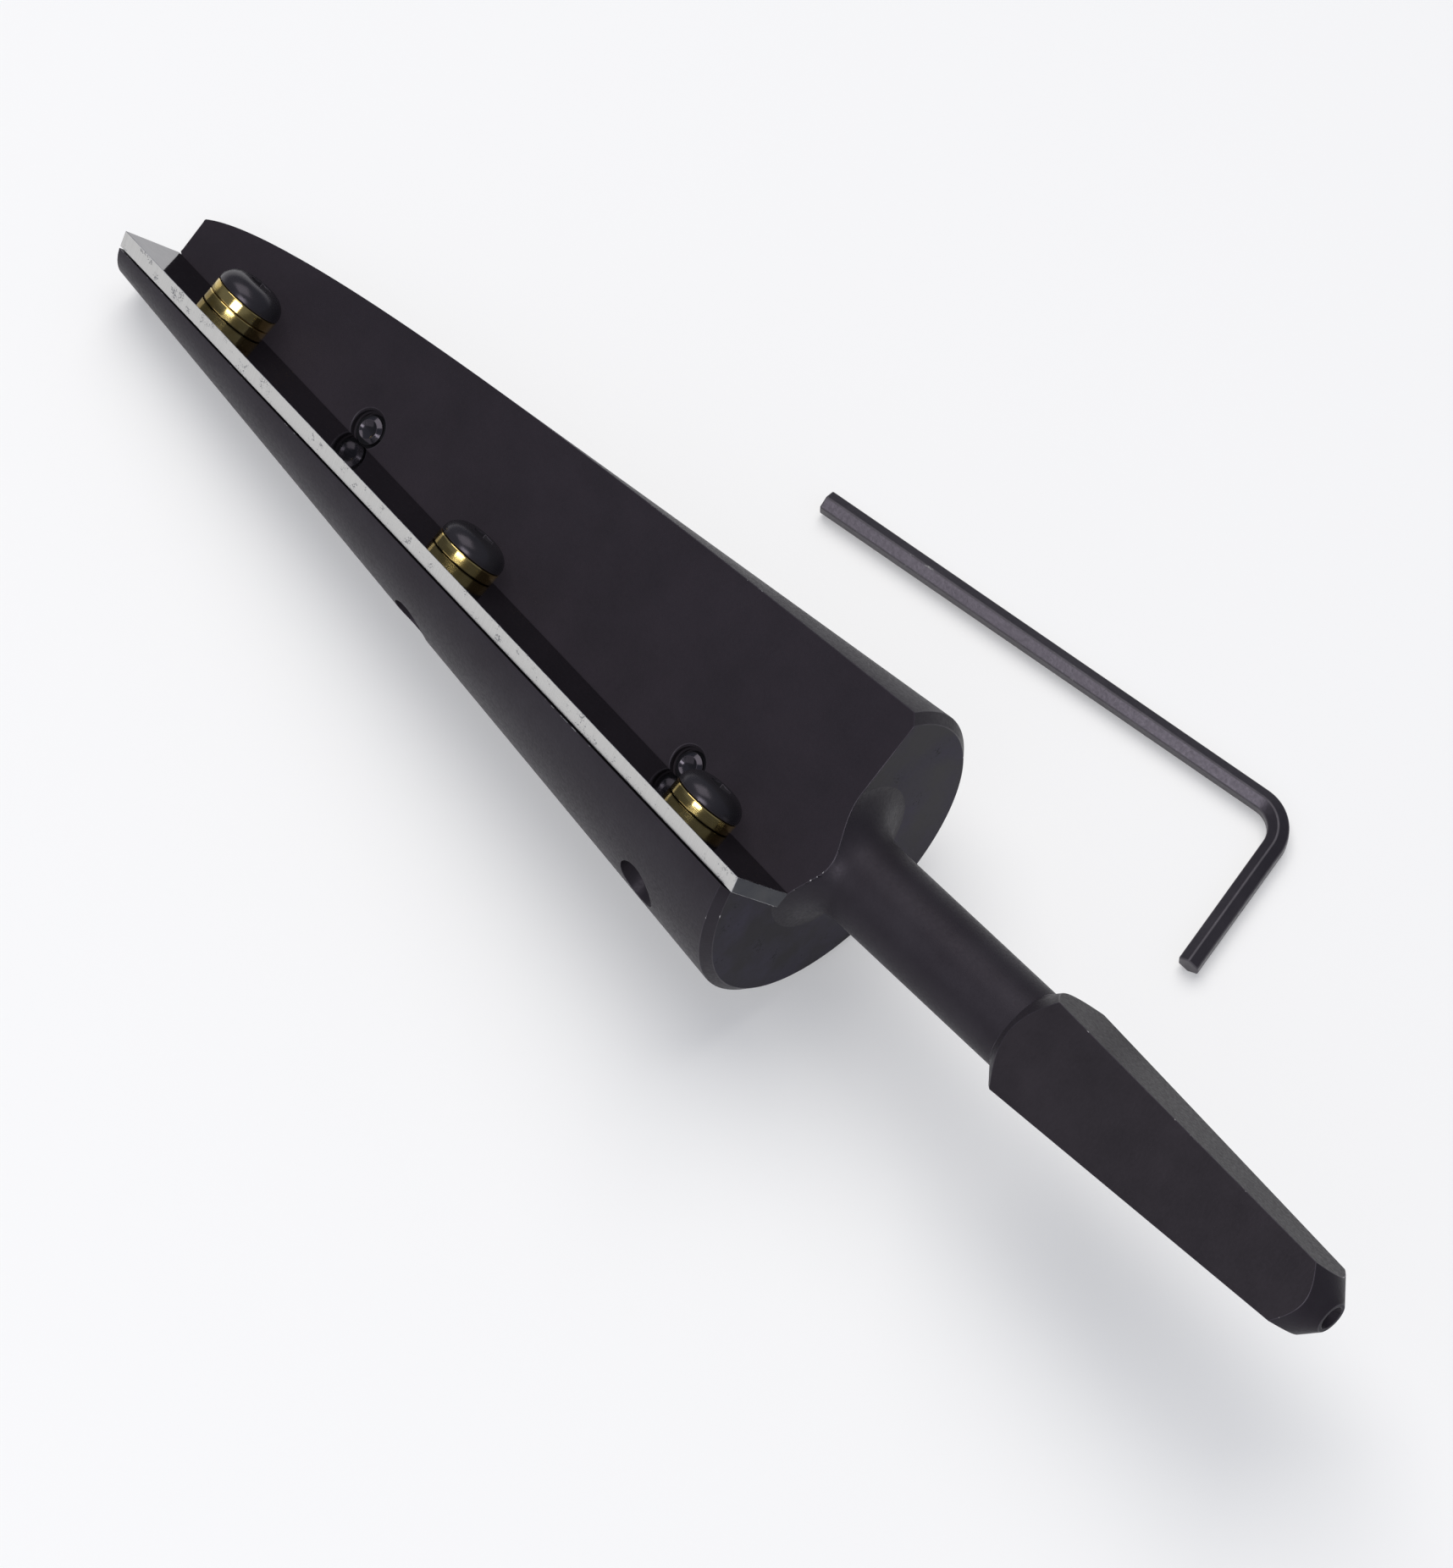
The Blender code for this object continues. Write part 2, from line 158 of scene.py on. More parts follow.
# Floor and lights. A panel is its place, its size, its power and its colour.
FLOOR_COLOUR = (0.945, 0.94, 0.93, 1.0)
FLOOR_DROP = 0.00002
WORLD_COLOUR = (0.80, 0.88, 1.12, 1.0)
WORLD_STRENGTH = 0.2
BACK_PANEL = ((-0.78, 0.72, 2.1), (2.0, 2.0), 31, (1.0, 0.98, 0.94))
FRONT_PANEL = ((0.11, -1.36, 1.72), (1.1, 1.1), 27, (1.0, 1.0, 1.0))

# Oxide: the faint purple cast of what it reflects, and the heights of its marks and grain
OXIDE_TINT = (1.0, 0.9, 1.08, 1.0)
MARK_HEIGHT = 0.000004
GRAIN_HEIGHT = 0.000006


# ---------------------------------------------------------------- frames


def seat_in_tool():
    along = Vector((math.cos(HALF_ANGLE), -math.sin(HALF_ANGLE), 0))
    inward = Vector((math.sin(HALF_ANGLE), math.cos(HALF_ANGLE), 0))
    across = math.cos(RAKE) * inward - math.sin(RAKE) * Vector((0, 0, 1))
    seat = Matrix((along, across, along.cross(across))).transposed().to_4x4()
    seat.translation = Vector((0, -(LARGE_RADIUS + EDGE_PROUD), 0))
    return seat


def seat_in_world(joints):
    """The blade's seat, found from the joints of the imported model."""
    found = {joint["name"]: joint for joint in joints}
    out = Vector(found["clamp_screw_3_turn"]["axis"]).normalized()
    across = -Vector(found["blade_advance"]["axis"]).normalized()
    along = across.cross(out)
    screw = Vector(found["clamp_screw_3_turn"]["pos_m"])
    seat = Matrix((along, across, out)).transposed().to_4x4()
    seat.translation = screw + FIRST_SCREW * along - SCREW_INSET * across
    return seat


def key_in_world(tool):
    """The hex key's frame: its origin is the outer corner of its bend, and X is its long arm."""
    origin = tool.translation
    place = Matrix.Translation((origin.x + KEY_CORNER[0], origin.y + KEY_CORNER[1], 0))
    return place @ Matrix.Rotation(KEY_HEADING, 4, "Z")


# ---------------------------------------------------------------- meshes


def turned(profile, steps=ROUND_STEPS, start=0.0):
    """A closed solid turned about X, from (station, radius) points that begin and end on it."""
    bm = bmesh.new()
    way = Vector((0, math.cos(start), math.sin(start)))
    points = [bm.verts.new(Vector((station, 0, 0)) + radius * way) for station, radius in profile]
    edges = [bm.edges.new(pair) for pair in zip(points, points[1:])]
    bmesh.ops.spin(
        bm,
        geom=points + edges,
        cent=(0, 0, 0),
        axis=(1, 0, 0),
        angle=math.tau,
        steps=steps,
        use_merge=True,
    )
    bmesh.ops.remove_doubles(bm, verts=bm.verts, dist=1e-7)
    bmesh.ops.recalc_face_normals(bm, faces=bm.faces)
    return bm


def pole(profile, steps):
    """The same about Z, from (radius, height) points."""
    bm = turned([(height, radius) for radius, height in profile], steps)
    bmesh.ops.transform(bm, verts=bm.verts, matrix=Matrix.Rotation(-math.pi / 2, 4, "Y"))
    return bm


def polygon(radius, count, turn=0.0):
    angles = [turn + math.tau * i / count for i in range(count)]
    return [(radius * math.cos(angle), radius * math.sin(angle)) for angle in angles]


def loft(rings):
    """A closed solid through rings of points, one ring after the other."""
    bm = bmesh.new()
    loops = [[bm.verts.new(point) for point in ring] for ring in rings]
    count = len(loops[0])
    for first, second in zip(loops, loops[1:]):
        for i in range(count):
            bm.faces.new((first[i], first[i - 1], second[i - 1], second[i]))
    bm.faces.new(loops[0])
    bm.faces.new(loops[-1])
    bmesh.ops.recalc_face_normals(bm, faces=bm.faces)
    return bm


def prism_z(outline, low, high):
    return loft([[(a, b, low) for a, b in outline], [(a, b, high) for a, b in outline]])


def prism_x(outline, low, high):
    return loft([[(low, a, b) for a, b in outline], [(high, a, b) for a, b in outline]])


def helper(name, bm, place=None):
    mesh = bpy.data.meshes.new(name)
    if place:
        bmesh.ops.transform(bm, verts=bm.verts, matrix=place)
    bm.to_mesh(mesh)
    bm.free()
    made = bpy.data.objects.new(name, mesh)
    bpy.context.scene.collection.objects.link(made)
    return made


def settle(item):
    """Applies an object's modifiers to its mesh."""
    graph = bpy.context.evaluated_depsgraph_get()
    mesh = bpy.data.meshes.new_from_object(item.evaluated_get(graph))
    item.modifiers.clear()
    item.data = mesh
    mesh.name = item.name
    return item


def combine(item, tools, operation="DIFFERENCE"):
    """Cuts tools from an item, or joins them to it, and removes them."""
    for tool in tools:
        step = item.modifiers.new(tool.name, "BOOLEAN")
        step.operation = operation
        step.object = tool
        step.solver = "EXACT"
    settle(item)
    for tool in tools:
        bpy.data.objects.remove(tool, do_unlink=True)
    return item


def break_edges(item, width, edge_slot=-1, limit=32, segments=2):
    """Rounds each hard edge slightly, and gives the rounded strips a finish of their own."""
    item.data.shade_smooth()
    step = item.modifiers.new("broken edges", "BEVEL")
    step.width = width
    step.segments = segments
    step.limit_method = "ANGLE"
    step.angle_limit = math.radians(limit)
    step.use_clamp_overlap = False
    step.material = edge_slot
    settle(item)
    return item


def finish_piece(item, body, frame, replaces=(), sharp=10):
    """Puts a piece in its place in the world and on its body."""
    item.data.transform(frame)
    # No point goes under the floor.
    for vertex in item.data.vertices:
        vertex.co.z = max(vertex.co.z, 0.0)
    item.data.shade_smooth()
    item.data.set_sharp_from_angle(angle=math.radians(sharp))
    item.data.update()
    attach(item, body)
    if replaces:
        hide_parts(*replaces)
    return item


# ---------------------------------------------------------------- reamer body


def body_blank():
    fillet = []
    for i in range(17):
        angle = math.pi / 2 * i / 16
        fillet.append(
            (
                SHANK_FILLET * (1 - math.cos(angle)),
                SHANK_RADIUS + SHANK_FILLET * (1 - math.sin(angle)),
            )
        )
    rim = LARGE_RADIUS - RIM_CHAMFER * math.tan(HALF_ANGLE)
    small = LARGE_RADIUS - CONE_LENGTH * math.tan(HALF_ANGLE)
    profile = [
        (-CONE_LENGTH, 0),
        (-CONE_LENGTH, small),
        (-RIM_CHAMFER, rim),
        (0, rim - RIM_CHAMFER),
        *fillet,
        (SHOULDER_START + 2 * MM, SHANK_RADIUS),
        (SHOULDER_START + 2 * MM, 0),
    ]
    return helper("reamer_with_tang", turned(profile))


def tang():
    reach = TANG_BLANK_RADIUS - SHANK_RADIUS
    root = 2 * MM
    blank = [
        (SHOULDER_START - root, 0),
        (SHOULDER_START - root, SHANK_RADIUS - root),
        (SHOULDER_START + reach, TANG_BLANK_RADIUS),
        (TANG_END - (TANG_BLANK_RADIUS - TIP_RADIUS), TANG_BLANK_RADIUS),
        (TANG_END, TIP_RADIUS),
        (TANG_END, 0),
    ]
    made = helper("tang", turned(blank))
    rings = []
    for station in (SHOULDER_START - 3 * root, TANG_END + root):
        half = TANG_HALF_WIDTH - TANG_TAPER * (station - TANG_WIDTH_STATION)
        corners = polygon(half * math.sqrt(2), 4, TANG_TURN + math.pi / 4)
        rings.append([(station, y, z) for y, z in corners])
    return combine(made, [helper("tang square", loft(rings))], "INTERSECT")


def centre_hole():
    slope = (CENTRE_MOUTH_RADIUS - CENTRE_DRILL_RADIUS) / math.tan(CENTRE_SLOPE)
    profile = [
        (TANG_END - CENTRE_DRILL_DEPTH, 0),
        (TANG_END - CENTRE_DRILL_DEPTH + 0.3 * MM, CENTRE_DRILL_RADIUS),
        (TANG_END - slope, CENTRE_DRILL_RADIUS),
        (TANG_END, CENTRE_MOUTH_RADIUS),
        (TANG_END + MM, CENTRE_MOUTH_RADIUS + MM * math.tan(CENTRE_SLOPE)),
        (TANG_END + MM, 0),
    ]
    return helper("centre hole", turned(profile, 48))


def notch():
    bed = -BLADE_THICKNESS - BED_GAP
    far = 40 * MM
    lean = math.tan(WALL_LEAN)
    outline = [
        (-far, bed),
        (WALL_FOOT - bed * lean, bed),
        (WALL_FOOT - far * lean, far),
        (-far, far),
    ]
    return helper("notch", prism_x(outline, -CONE_LENGTH - 12 * MM, 12 * MM), seat_in_tool())


def screw_places():
    stations = [-(FIRST_SCREW + SCREW_SPACING * i) for i in (2, 1, 0)]
    return [Matrix.Translation((station, SCREW_INSET, 0)) for station in stations]


def set_screw_places(start):
    """Frames with Z from the wall into the body, start away from the blade's seat line."""
    turn = Matrix.Rotation(-math.pi / 2, 4, "X")
    return [
        Matrix.Translation((-station, start, SET_SCREW_HEIGHT)) @ turn
        for station in SET_SCREW_STATIONS
    ]


def clamp_holes():
    bed = -BLADE_THICKNESS - BED_GAP
    end = bed - THREAD_LENGTH
    mouth = 0.3 * MM
    profile = [
        (0, -30 * MM),
        (RELIEF_RADIUS, -30 * MM),
        (RELIEF_RADIUS, end),
        (TAPPED_RADIUS, end + RELIEF_RADIUS - TAPPED_RADIUS),
        (TAPPED_RADIUS, bed - mouth),
        (TAPPED_RADIUS + mouth + MM, bed + MM),
        (0, bed + MM),
    ]
    seat = seat_in_tool()
    return [helper("clamp hole", pole(profile, 64), seat @ place) for place in screw_places()]


def set_screw_holes():
    mouth = 0.12 * MM
    profile = [
        (0, -2 * MM),
        (SET_HOLE_RADIUS + mouth + 2 * MM, -2 * MM),
        (SET_HOLE_RADIUS, mouth),
        (SET_HOLE_RADIUS, 40 * MM),
        (0, 40 * MM),
    ]
    seat = seat_in_tool()
    places = set_screw_places(WALL_FOOT - SET_SCREW_HEIGHT * math.tan(WALL_LEAN))
    return [helper("set screw hole", pole(profile, 64), seat @ place) for place in places]


def sort_body_faces(mesh):
    """Gives the milled faces, the end face and the tang flats their own material slots."""
    seat = seat_in_tool()
    wall_way = seat.to_3x3() @ Vector((0, -math.cos(WALL_LEAN), -math.sin(WALL_LEAN)))
    for face in mesh.polygons:
        x = face.center.x
        if abs(face.normal.dot(wall_way)) > 0.9999 or face.normal.dot(seat.col[2].xyz) > 0.9999:
            face.material_index = 2
        elif abs(face.normal.x) > 0.9999 and abs(x) < CONE_LENGTH + MM:
            face.material_index = 3
        elif x > SHOULDER_START + MM and abs(face.normal.x) < 0.06:
            face.material_index = 4


def make_reamer_body(tool, finishes):
    body = body_blank()
    combine(body, [tang()], "UNION")
    combine(body, [centre_hole(), notch(), *clamp_holes(), *set_screw_holes()])
    for finish in finishes:
        body.data.materials.append(finish)
    sort_body_faces(body.data)
    break_edges(body, BODY_EDGE, edge_slot=1)
    return finish_piece(body, "reamer", tool, ["reamer_body"])


# ---------------------------------------------------------------- shapes that follow a rule


def new_tree(name, inputs):
    """A geometry tree with a Geometry input and output and named inputs of its own."""
    tree = bpy.data.node_groups.new(name, "GeometryNodeTree")
    sockets = tree.interface
    sockets.new_socket(name="Geometry", in_out="INPUT", socket_type="NodeSocketGeometry")
    for label, kind in inputs:
        sockets.new_socket(name=label, in_out="INPUT", socket_type=f"NodeSocket{kind}")
    sockets.new_socket(name="Geometry", in_out="OUTPUT", socket_type="NodeSocketGeometry")
    start = tree.nodes.new("NodeGroupInput")
    end = tree.nodes.new("NodeGroupOutput")
    return tree, start.outputs, end.inputs[0]


def add_node(tree, kind, settings=None, **values):
    """Adds a node. A value is linked if it is a socket, and set if it isn't."""
    node = tree.nodes.new(kind)
    for key, value in (settings or {}).items():
        setattr(node, key, value)
    for key, value in values.items():
        label = key.replace("_", " ")
        socket = node.inputs[int(label[1:])] if label[1:].isdigit() else node.inputs[label]
        if isinstance(value, bpy.types.NodeSocket):
            tree.links.new(value, socket)
        else:
            socket.default_value = value
    return node


def finished(tree, geometry, finish):
    """Realizes a geometry socket's instances and gives it a material."""
    real = add_node(tree, "GeometryNodeRealizeInstances", Geometry=geometry)
    painted = add_node(
        tree, "GeometryNodeSetMaterial", Geometry=real.outputs[0], Material=finish
    )
    return painted.outputs[0]


def thread_tree():
    """Winds a ridge round Z, on a blank that it is joined to."""
    tree, given, result = new_tree(
        "Helical thread",
        [
            ("Radius", "Float"),
            ("Pitch", "Float"),
            ("Turns", "Float"),
            ("Ridge", "Float"),
            ("Start", "Float"),
            ("Finish", "Material"),
        ],
    )
    height = add_node(
        tree, "ShaderNodeMath", {"operation": "MULTIPLY"}, i0=given["Pitch"], i1=given["Turns"],
    )
    spiral = add_node(
        tree,
        "GeometryNodeCurveSpiral",
        Resolution=32,
        Rotations=given["Turns"],
        Start_Radius=given["Radius"],
        End_Radius=given["Radius"],
        Height=height.outputs[0],
    )
    normal = add_node(
        tree, "GeometryNodeSetCurveNormal", {"mode": "Z_UP"}, Curve=spiral.outputs[0],
    )
    section = add_node(
        tree, "GeometryNodeCurvePrimitiveCircle", Resolution=4, Radius=given["Ridge"],
    )
    ridge = add_node(
        tree,
        "GeometryNodeCurveToMesh",
        Curve=normal.outputs[0],
        Profile_Curve=section.outputs[0],
        Fill_Caps=True,
    )
    shift = add_node(tree, "ShaderNodeCombineXYZ", Z=given["Start"])
    moved = add_node(
        tree, "GeometryNodeTransform", Geometry=ridge.outputs[0], Translation=shift.outputs[0]
    )
    painted = finished(tree, moved.outputs[0], given["Finish"])
    joined = tree.nodes.new("GeometryNodeJoinGeometry")
    tree.links.new(painted, joined.inputs[0])
    tree.links.new(given["Geometry"], joined.inputs[0])
    tree.links.new(joined.outputs[0], result)
    return tree


def washer_tree():
    """Sweeps a rounded section round a circle. The washer stands on z = 0."""
    tree, given, result = new_tree(
        "Plain washer",
        [
            ("Outer radius", "Float"),
            ("Bore radius", "Float"),
            ("Thickness", "Float"),
            ("Edge radius", "Float"),
            ("Finish", "Material"),
        ],
    )
    total = add_node(
        tree,
        "ShaderNodeMath",
        {"operation": "ADD"},
        i0=given["Outer radius"],
        i1=given["Bore radius"],
    )
    middle = add_node(
        tree, "ShaderNodeMath", {"operation": "MULTIPLY"}, i0=total.outputs[0], i1=0.5,
    )
    width = add_node(
        tree,
        "ShaderNodeMath",
        {"operation": "SUBTRACT"},
        i0=given["Outer radius"],
        i1=given["Bore radius"],
    )
    path = add_node(
        tree, "GeometryNodeCurvePrimitiveCircle", Resolution=96, Radius=middle.outputs[0],
    )
    normal = add_node(tree, "GeometryNodeSetCurveNormal", {"mode": "Z_UP"}, Curve=path.outputs[0])
    section = add_node(
        tree,
        "GeometryNodeCurvePrimitiveQuadrilateral",
        Width=width.outputs[0],
        Height=given["Thickness"],
    )
    edges = add_node(
        tree,
        "GeometryNodeFilletCurve",
        {"mode": "POLY"},
        Curve=section.outputs[0],
        Count=4,
        Radius=given["Edge radius"],
    )
    swept = add_node(
        tree,
        "GeometryNodeCurveToMesh",
        Curve=normal.outputs[0],
        Profile_Curve=edges.outputs[0],
    )
    half = add_node(
        tree, "ShaderNodeMath", {"operation": "MULTIPLY"}, i0=given["Thickness"], i1=0.5
    )
    shift = add_node(tree, "ShaderNodeCombineXYZ", Z=half.outputs[0])
    moved = add_node(
        tree, "GeometryNodeTransform", Geometry=swept.outputs[0], Translation=shift.outputs[0]
    )
    painted = finished(tree, moved.outputs[0], given["Finish"])
    tree.links.new(painted, result)
    return tree


def hexagon_bar_tree():
    """Bends a hexagon bar along straight lines, with a flat on each side of the bend."""
    tree, given, result = new_tree(
        "Bent hexagon bar",
        [
            ("Across flats", "Float"),
            ("Bend radius", "Float"),
            ("Bend steps", "Int"),
            ("Finish", "Material"),
        ],
    )
    path = add_node(tree, "GeometryNodeMeshToCurve", Mesh=given["Geometry"])
    bent = add_node(
        tree,
        "GeometryNodeFilletCurve",
        {"mode": "POLY"},
        Curve=path.outputs[0],
        Count=given["Bend steps"],
        Radius=given["Bend radius"],
    )
    normal = add_node(tree, "GeometryNodeSetCurveNormal", {"mode": "Z_UP"}, Curve=bent.outputs[0])
    corner = add_node(
        tree,
        "ShaderNodeMath",
        {"operation": "DIVIDE"},
        i0=given["Across flats"],
        i1=math.sqrt(3),
    )
    section = add_node(
        tree, "GeometryNodeCurvePrimitiveCircle", Resolution=6, Radius=corner.outputs[0]
    )
    turned_section = add_node(
        tree,
        "GeometryNodeTransform",
        Geometry=section.outputs[0],
        Rotation=(0, 0, math.pi / 2),
    )
    swept = add_node(
        tree,
        "GeometryNodeCurveToMesh",
        Curve=normal.outputs[0],
        Profile_Curve=turned_section.outputs[0],
        Fill_Caps=True,
    )
    painted = finished(tree, swept.outputs[0], given["Finish"])
    tree.links.new(painted, result)
    return tree


def grow(item, tree, **values):
    """Runs a geometry tree on an item with the given inputs, and keeps the mesh that it makes."""
    step = item.modifiers.new(tree.name, "NODES")
    step.node_group = tree
    labels = {
        socket.name: socket.identifier
        for socket in tree.interface.items_tree
        if socket.in_out == "INPUT"
    }
    for key, value in values.items():
        step[labels[key.replace("_", " ")]] = value
    settle(item)
    bm = bmesh.new()
    bm.from_mesh(item.data)
    bmesh.ops.remove_doubles(bm, verts=bm.verts, dist=1e-8)
    bmesh.ops.recalc_face_normals(bm, faces=bm.faces)
    bm.to_mesh(item.data)
    bm.free()
    return item


# ---------------------------------------------------------------- blade, screws, washers and key


def end_plane_x(station, y, z):
    """The seat frame's x at which (y, z) lies on the tool frame's plane at a station."""
    seat = seat_in_tool()
    along, across, out = (seat.col[i][0] for i in range(3))
    return (station - y * across - z * out) / along


def make_blade(seat, finishes):
    bottom = -BLADE_THICKNESS
    outline = [(0, 0), (BLADE_WIDTH, 0), (BLADE_WIDTH, bottom), (BEVEL_RUN, bottom)]
    rings = [
        [(end_plane_x(station, y, z), y, z) for y, z in outline]
        for station in (-CONE_LENGTH, BLADE_OVERHANG)
    ]
    blade = helper("cutting_blade", loft(rings))
    tools = []
    for place in screw_places():
        near = polygon(SCREW_RADIUS + BLADE_SLOT_GAP, 40, math.pi / 40)
        slot = [(x, y + (BLADE_FEED if y > 0 else 0)) for x, y in near]
        tools.append(helper("slot", prism_z(slot, -5 * MM, 2 * MM), place))
    grind = prism_x(
        [(-0.1, -0.1), (0.1, -0.1), (0.1, CORNER_GRIND), (-0.1, CORNER_GRIND)], -0.3, 0.3,
    )
    tools.append(helper("corner grind", grind, seat.inverted()))
    combine(blade, tools)
    for finish in finishes:
        blade.data.materials.append(finish)
    bevel_way = Vector((0, bottom, -BEVEL_RUN)).normalized()
    for face in blade.data.polygons:
        if abs(face.normal.dot(bevel_way)) > 0.99:
            face.material_index = 1
        elif abs(face.normal.z) < 0.9:
            face.material_index = 2
    break_edges(blade, BLADE_EDGE, edge_slot=3)
    return finish_piece(blade, "blade", seat, ["blade"])


def dome(low, rim, top_radius, steps=14):
    """The rounded side of a button head, from the top of its rim to its flat top."""
    points = []
    for i in range(steps + 1):
        angle = math.pi / 2 * i / steps
        across = (HEAD_RADIUS - top_radius) * (1 - math.cos(angle)) ** 0.9
        rise = (HEAD_HEIGHT - rim) * math.sin(angle) ** 0.95
        points.append((HEAD_RADIUS - across, low + rim + rise))
    return points


def hexagon_socket(top, depth):
    """A broached hexagon hole with a drilled bottom and a lightly chamfered mouth."""
    corner = SOCKET_ACROSS / math.sqrt(3)
    hexagon = helper("hexagon", prism_z(polygon(corner, 6), top - depth, top + MM))
    drill = [
        (0, top - depth - 0.5 * MM),
        (SOCKET_ACROSS / 2 - 0.06 * MM, top - depth + 0.1 * MM),
        (SOCKET_ACROSS / 2 - 0.06 * MM, top - depth + 0.4 * MM),
        (0, top - depth + 0.4 * MM),
    ]
    mouth = [
        (0, top - 0.5 * MM),
        (corner - 0.28 * MM, top - 0.2 * MM),
        (corner + 0.92 * MM, top + MM),
        (0, top + MM),
    ]
    return [hexagon, helper("drill", pole(drill, 36)), helper("mouth", pole(mouth, 36))]


def make_clamp_screw(number, seat, thread, finishes):
    washers = 2 if number == 1 else 1
    low = washers * WASHER_PITCH + WASHER_GAP
    tip = low - SCREW_REACH
    core = SCREW_RADIUS - SCREW_THREAD_DEPTH
    neck = -BLADE_THICKNESS
    profile = [
        (0, tip),
        (core - 0.3 * MM, tip),
        (core, tip + 0.3 * MM),
        (core, neck - 0.2 * MM),
        (SCREW_RADIUS, neck),
        (SCREW_RADIUS, low),
        (HEAD_RADIUS - 0.1 * MM, low),
        (HEAD_RADIUS, low + 0.1 * MM),
        *dome(low, 0.35 * MM, 1.75 * MM),
        (0, low + HEAD_HEIGHT),
    ]
    screw = helper(f"button_head_screw_{number}", pole(profile, 96))
    combine(screw, hexagon_socket(low + HEAD_HEIGHT, SOCKET_DEPTH))
    for finish in finishes:
        screw.data.materials.append(finish)
    break_edges(screw, SCREW_EDGE, edge_slot=1, limit=40)
    turns = (neck - 0.4 * MM - tip) / SCREW_PITCH
    grow(
        screw,
        thread,
        Radius=core,
        Pitch=SCREW_PITCH,
        Turns=turns,
        Ridge=SCREW_RIDGE,
        Start=tip + 0.2 * MM,
        Finish=finishes[0],
    )
    place = seat @ screw_places()[number - 1]
    body = f"clamp_screw_{number}"
    return finish_piece(screw, body, place, [body])


def make_washer(name, number, level, seat, tree, finish):
    """A brass washer under clamp screw number. Level counts from the blade."""
    stack = 2 if number == 1 else 1
    thickness = WASHER_PITCH + WASHER_FILL / stack
    washer = helper(name, bmesh.new())
    grow(
        washer,
        tree,
        Outer_radius=WASHER_RADIUS,
        Bore_radius=WASHER_BORE,
        Thickness=thickness,
        Edge_radius=WASHER_EDGE,
        Finish=finish,
    )
    rise = Matrix.Translation((0, 0, level * (thickness + WASHER_SEAM) + WASHER_SEAM))
    place = seat @ screw_places()[number - 1] @ rise
    return finish_piece(
        washer, f"clamp_screw_{number}", place, [name.replace("turned_", "")],
    )


def make_set_screw(number, seat, thread, finishes):
    """A cup point set screw. Its Z runs from its point into the body."""
    end = SET_SCREW_LENGTH
    core = SET_SCREW_RADIUS - SET_SCREW_THREAD_DEPTH
    profile = [
        (0, 0.5 * MM),
        (CUP_RADIUS, 0),
        (core, 0.55 * (core - CUP_RADIUS) + 0.02 * MM),
        (core, end - 0.3 * MM),
        (core - 0.3 * MM, end),
        (0, end),
    ]
    screw = helper(f"cup_point_screw_{number}", pole(profile, 72))
    combine(screw, hexagon_socket(end, SET_SOCKET_DEPTH))
    for finish in finishes:
        screw.data.materials.append(finish)
    break_edges(screw, SET_SCREW_EDGE, edge_slot=1, limit=40)
    grow(
        screw,
        thread,
        Radius=core,
        Pitch=SCREW_PITCH,
        Turns=(end - 1.3 * MM) / SCREW_PITCH,
        Ridge=SET_SCREW_RIDGE,
        Start=0.75 * MM,
        Finish=finishes[0],
    )
    place = seat @ set_screw_places(BLADE_WIDTH + 0.2 * MM)[number - 1]
    body = f"set_screw_{number}"
    return finish_piece(screw, body, place, [body])


def make_hole_threads(seat, thread, finish):
    """The threads inside the reamer body's tapped holes."""
    made = []
    for number, place in enumerate(screw_places(), 1):
        turns = (2.4 * MM if number == 1 else THREAD_LENGTH - 0.6 * MM) / SCREW_PITCH
        start = -BLADE_THICKNESS - BED_GAP - 0.5 * MM - turns * SCREW_PITCH
        made.append((f"clamp_hole_thread_{number}", place, TAPPED_RADIUS, turns, start))
    for number, place in enumerate(set_screw_places(WALL_FOOT), 1):
        turns = SET_HOLE_THREADS[number - 1] / SCREW_PITCH
        made.append((f"set_hole_thread_{number}", place, SET_HOLE_RADIUS, turns, 0.45 * MM))
    for name, place, radius, turns, start in made:
        ridge = helper(name, bmesh.new())
        grow(
            ridge,
            thread,
            Radius=radius + HOLE_RIDGE_INSET,
            Pitch=SCREW_PITCH,
            Turns=turns,
            Ridge=HOLE_RIDGE,
            Start=start,
            Finish=finish,
        )
        finish_piece(ridge, "reamer", seat @ place)


def make_hex_key(place, tree, finishes):
    middle = KEY_ACROSS / 2
    height = KEY_ACROSS / math.sqrt(3)
    inside = math.pi - KEY_TURN
    short_way = Vector((math.cos(inside), math.sin(inside)))
    side = middle * Vector((math.sin(inside), -math.cos(inside)))
    corner = Vector((middle / math.tan(inside / 2), middle))
    end = side + KEY_SHORT * short_way
    path = bmesh.new()
    points = [(KEY_LONG, middle, height), (*corner, height), (*end, height)]
    corners = [path.verts.new(point) for point in points]
    path.edges.new(corners[:2])
    path.edges.new(corners[1:])
    key = helper("bent_hex_key", path)
    grow(
        key,
        tree,
        Across_flats=KEY_ACROSS,
        Bend_radius=KEY_BEND,
        Bend_steps=20,
        Finish=finishes[0],
    )
    key.data.materials.append(finishes[1])
    break_edges(key, KEY_EDGE, edge_slot=1, limit=40, segments=3)
    return finish_piece(key, "hex_key", place, ["hex_key"])


# ---------------------------------------------------------------- finishes


def new_group(name, inputs, outputs):
    """A shader node group with named inputs, each (name, kind, value), and named outputs."""
    group = bpy.data.node_groups.new(name, "ShaderNodeTree")
    for label, kind, value in inputs:
        socket = group.interface.new_socket(
            name=label, in_out="INPUT", socket_type=f"NodeSocket{kind}"
        )
        if value is not None:
            socket.default_value = value
    for label, kind in outputs:
        group.interface.new_socket(name=label, in_out="OUTPUT", socket_type=f"NodeSocket{kind}")
    start = group.nodes.new("NodeGroupInput")
    end = group.nodes.new("NodeGroupOutput")
    return group, start.outputs, end.inputs


